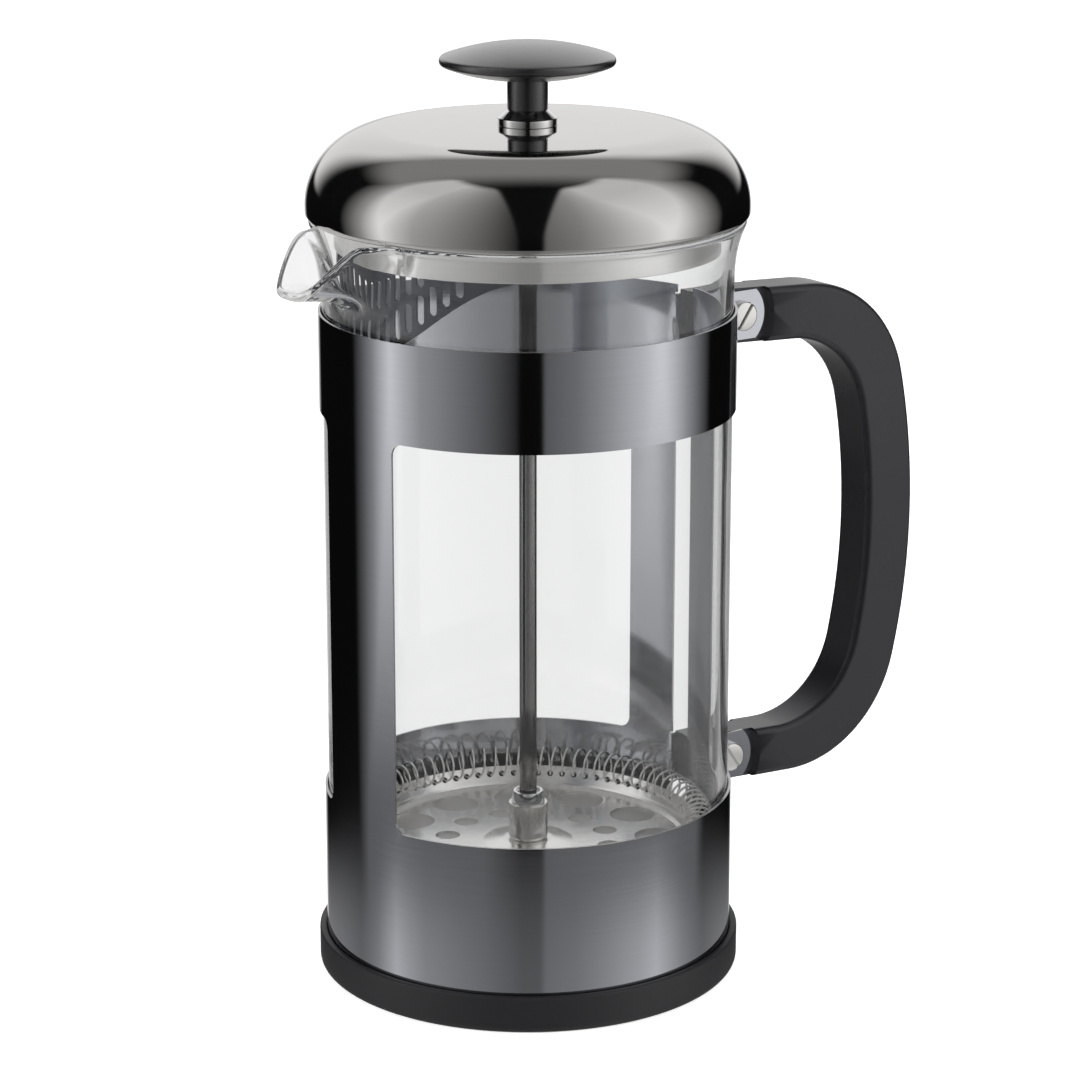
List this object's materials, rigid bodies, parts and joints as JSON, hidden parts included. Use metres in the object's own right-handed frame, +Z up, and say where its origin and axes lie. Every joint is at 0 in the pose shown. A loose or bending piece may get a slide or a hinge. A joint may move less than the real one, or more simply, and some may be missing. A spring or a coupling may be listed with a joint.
{
  "type": "french press",
  "caption": "Coffee press: glass beaker in a steel sleeve with side handle, domed lid with strainer tongue, and a sliding plunger with a spring-edged filter.",
  "frame": {"origin": "centre of the underside of the base", "axes": "+Z up along the beaker's axis, +X towards the handle, -X towards the spout"},
  "size_m": [0.1835, 0.1044, 0.2258],
  "materials": {
    "base_plastic": "fine matte moulded",
    "sleeve_steel": "dark steel brushed around the axis",
    "handle_plastic": "satin moulded",
    "screw_steel": "bright plated",
    "beaker_glass": "clear borosilicate",
    "lid_steel": "polished stainless",
    "ring_steel": "polished stainless",
    "strainer_steel": "satin stainless",
    "guide_chrome": "bright chrome",
    "knob_plastic": "fine grained moulded",
    "insert_brass": "turned",
    "rod_steel": "polished rod",
    "hub_steel": "turned stainless",
    "filter_steel": "pressed stainless",
    "spring_steel": "drawn spring wire",
    "mesh_steel": "fine woven wire"
  },
  "bodies": {
    "stand": {"base": "base_plastic", "sleeve": "sleeve_steel", "handle": "handle_plastic", "handle_screw_upper": "screw_steel", "handle_screw_lower": "screw_steel", "handle_nut_upper": "screw_steel", "handle_nut_lower": "screw_steel"},
    "beaker": {"glass_beaker": "beaker_glass"},
    "guide": {"rod_guide": "guide_chrome", "guide_nut": "guide_chrome"},
    "lid": {"lid_dome": "lid_steel", "lid_inner_ring": "ring_steel", "pour_strainer": "strainer_steel"},
    "plunger": {"knob": "knob_plastic", "knob_insert": "insert_brass", "plunger_rod": "rod_steel", "rod_collar": "guide_chrome", "filter_hub": "hub_steel", "spring_plate": "filter_steel", "coil_spring": "spring_steel", "filter_mesh": "mesh_steel", "cross_plate": "filter_steel", "filter_nut": "hub_steel"}
  },
  "joints": [
    {"name": "beaker_lift", "type": "slide", "parent": "stand", "child": "beaker", "axis": [0, 0, 1], "range_m": [0, 0.175]},
    {"name": "lid_lift", "type": "slide", "parent": "beaker", "child": "guide", "axis": [0, 0, 1], "range_m": [0, 0.175]},
    {"name": "lid_turn", "type": "hinge", "parent": "guide", "child": "lid", "pos_m": [0, 0, 0.2], "axis": [0, 0, 1], "continuous": true},
    {"name": "plunger_press", "type": "slide", "parent": "guide", "child": "plunger", "axis": [0, 0, 1], "range_m": [0, 0.112]}
  ]
}
